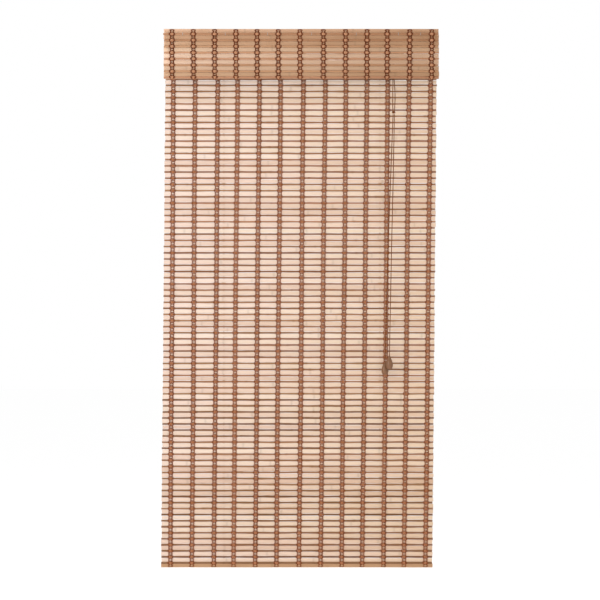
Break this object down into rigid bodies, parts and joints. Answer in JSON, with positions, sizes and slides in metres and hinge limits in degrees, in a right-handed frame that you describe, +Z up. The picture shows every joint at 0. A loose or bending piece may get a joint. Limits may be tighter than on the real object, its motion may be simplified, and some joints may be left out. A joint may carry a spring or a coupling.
{
  "type": "bamboo roman shade",
  "caption": "Woven bamboo roman shade on a headrail board, with a valance, flat slats tied in yarn columns, a pleating lift and pull cords with tassels.",
  "frame": {"origin": "centre of the four wall holes of the two brackets, on the wall plane", "axes": "+Z up along the drop, +X to the right as seen from the room, -Y towards the room, wall at y = 0"},
  "size_m": [0.7776, 0.0725, 1.5074],
  "materials": {
    "bamboo_pale": "satin",
    "bamboo_dark": "satin",
    "yarn": "matte",
    "pine": "satin",
    "zinc_steel": "satin",
    "brass": "satin",
    "cord": "matte",
    "tassel_wood": "satin",
    "ring_plastic": "matte"
  },
  "bodies": {
    "root": {"headrail_board": "pine", "bracket_left": "zinc_steel", "bracket_right": "zinc_steel", "screws": "zinc_steel", "staples": "zinc_steel", "screw_eyes": "zinc_steel", "lock_housing": "zinc_steel", "header_cords": "cord", "lift_cords": "cord", "apron_slats": "bamboo_pale", "apron_sticks": "bamboo_dark", "apron_yarns": "yarn", "valance_slats": "bamboo_pale", "valance_sticks": "bamboo_dark", "valance_yarns": "yarn"},
    "panel_01": {"panel_01_slats": "bamboo_pale", "panel_01_sticks": "bamboo_dark", "panel_01_yarns": "yarn"},
    "panel_02": {"panel_02_slats": "bamboo_pale", "panel_02_sticks": "bamboo_dark", "panel_02_yarns": "yarn"},
    "ring_row_1": {"lift_rings_1": "ring_plastic"},
    "panel_03": {"panel_03_slats": "bamboo_pale", "panel_03_sticks": "bamboo_dark", "panel_03_yarns": "yarn"},
    "panel_04": {"panel_04_slats": "bamboo_pale", "panel_04_sticks": "bamboo_dark", "panel_04_yarns": "yarn"},
    "ring_row_2": {"lift_rings_2": "ring_plastic"},
    "panel_05": {"panel_05_slats": "bamboo_pale", "panel_05_sticks": "bamboo_dark", "panel_05_yarns": "yarn"},
    "panel_06": {"panel_06_slats": "bamboo_pale", "panel_06_sticks": "bamboo_dark", "panel_06_yarns": "yarn"},
    "ring_row_3": {"lift_rings_3": "ring_plastic"},
    "panel_07": {"panel_07_slats": "bamboo_pale", "panel_07_sticks": "bamboo_dark", "panel_07_yarns": "yarn"},
    "panel_08": {"panel_08_slats": "bamboo_pale", "panel_08_sticks": "bamboo_dark", "panel_08_yarns": "yarn"},
    "ring_row_4": {"lift_rings_4": "ring_plastic"},
    "panel_09": {"panel_09_slats": "bamboo_pale", "panel_09_sticks": "bamboo_dark", "panel_09_yarns": "yarn"},
    "panel_10": {"panel_10_slats": "bamboo_pale", "panel_10_sticks": "bamboo_dark", "panel_10_yarns": "yarn"},
    "rail": {"bottom_rail": "pine", "hem_strips": "bamboo_pale", "hem_yarns": "yarn", "lift_cord_knots": "cord"},
    "cord_lead": {"pull_cords_upper": "cord"},
    "pull_set": {"cord_knot": "cord", "pull_cord_left": "cord", "pull_cord_right": "cord", "tassel_left": "tassel_wood", "tassel_right": "tassel_wood"},
    "lock_roller": {"lock_roller": "brass"}
  },
  "joints": [
    {"name": "lift", "type": "hinge", "parent": "root", "child": "panel_01", "pos_m": [0, -0.0251, -0.11935], "axis": [-1, 0, 0], "range_deg": [0, 84], "deforming": ["lift_cords"]},
    {"name": "fold_02", "type": "hinge", "parent": "panel_01", "child": "panel_02", "pos_m": [0, -0.0189, -0.25924], "axis": [-1, 0, 0], "range_deg": [-168, 0]},
    {"name": "ring_level_1", "type": "hinge", "parent": "panel_02", "child": "ring_row_1", "pos_m": [0, -0.0251, -0.39913], "axis": [-1, 0, 0], "range_deg": [0, 84]},
    {"name": "fold_03", "type": "hinge", "parent": "panel_02", "child": "panel_03", "pos_m": [0, -0.0251, -0.39913], "axis": [-1, 0, 0], "range_deg": [0, 168]},
    {"name": "fold_04", "type": "hinge", "parent": "panel_03", "child": "panel_04", "pos_m": [0, -0.0189, -0.53969], "axis": [-1, 0, 0], "range_deg": [-168, 0]},
    {"name": "ring_level_2", "type": "hinge", "parent": "panel_04", "child": "ring_row_2", "pos_m": [0, -0.0251, -0.68025], "axis": [-1, 0, 0], "range_deg": [0, 84]},
    {"name": "fold_05", "type": "hinge", "parent": "panel_04", "child": "panel_05", "pos_m": [0, -0.0251, -0.68025], "axis": [-1, 0, 0], "range_deg": [0, 168]},
    {"name": "fold_06", "type": "hinge", "parent": "panel_05", "child": "panel_06", "pos_m": [0, -0.0189, -0.81824], "axis": [-1, 0, 0], "range_deg": [-168, 0]},
    {"name": "ring_level_3", "type": "hinge", "parent": "panel_06", "child": "ring_row_3", "pos_m": [0, -0.0251, -0.95623], "axis": [-1, 0, 0], "range_deg": [0, 84]},
    {"name": "fold_07", "type": "hinge", "parent": "panel_06", "child": "panel_07", "pos_m": [0, -0.0251, -0.95623], "axis": [-1, 0, 0], "range_deg": [0, 168]},
    {"name": "fold_08", "type": "hinge", "parent": "panel_07", "child": "panel_08", "pos_m": [0, -0.0189, -1.0929], "axis": [-1, 0, 0], "range_deg": [-168, 0]},
    {"name": "ring_level_4", "type": "hinge", "parent": "panel_08", "child": "ring_row_4", "pos_m": [0, -0.0251, -1.22958], "axis": [-1, 0, 0], "range_deg": [0, 84]},
    {"name": "fold_09", "type": "hinge", "parent": "panel_08", "child": "panel_09", "pos_m": [0, -0.0251, -1.22958], "axis": [-1, 0, 0], "range_deg": [0, 168]},
    {"name": "fold_10", "type": "hinge", "parent": "panel_09", "child": "panel_10", "pos_m": [0, -0.0189, -1.34878], "axis": [-1, 0, 0], "range_deg": [-168, 0]},
    {"name": "rail_level", "type": "hinge", "parent": "panel_10", "child": "rail", "pos_m": [0, -0.0251, -1.46798], "axis": [-1, 0, 0], "range_deg": [0, 84]},
    {"name": "cord_forward", "type": "slide", "parent": "root", "child": "cord_lead", "axis": [0, -1, 0], "range_m": [0, 0.143]},
    {"name": "pull", "type": "slide", "parent": "cord_lead", "child": "pull_set", "axis": [0, 0, -1], "range_m": [0, 1.146], "deforming": ["pull_cords_upper"]},
    {"name": "lock_roller_travel", "type": "slide", "parent": "root", "child": "lock_roller", "axis": [-0.6, 0, 0.8], "range_m": [0, 0.0035]}
  ],
  "couplings": [
    {"joint": "fold_02", "follows": "lift", "ratio": -2},
    {"joint": "ring_level_1", "follows": "lift", "ratio": 1},
    {"joint": "fold_03", "follows": "lift", "ratio": 2},
    {"joint": "fold_04", "follows": "lift", "ratio": -2},
    {"joint": "ring_level_2", "follows": "lift", "ratio": 1},
    {"joint": "fold_05", "follows": "lift", "ratio": 2},
    {"joint": "fold_06", "follows": "lift", "ratio": -2},
    {"joint": "ring_level_3", "follows": "lift", "ratio": 1},
    {"joint": "fold_07", "follows": "lift", "ratio": 2},
    {"joint": "fold_08", "follows": "lift", "ratio": -2},
    {"joint": "ring_level_4", "follows": "lift", "ratio": 1},
    {"joint": "fold_09", "follows": "lift", "ratio": 2},
    {"joint": "fold_10", "follows": "lift", "ratio": -2},
    {"joint": "rail_level", "follows": "lift", "ratio": 1},
    {"joint": "cord_forward", "follows": "lift", "m_per_rad": 0.097538},
    {"joint": "pull", "follows": "lift", "m_per_rad": 0.78168}
  ]
}
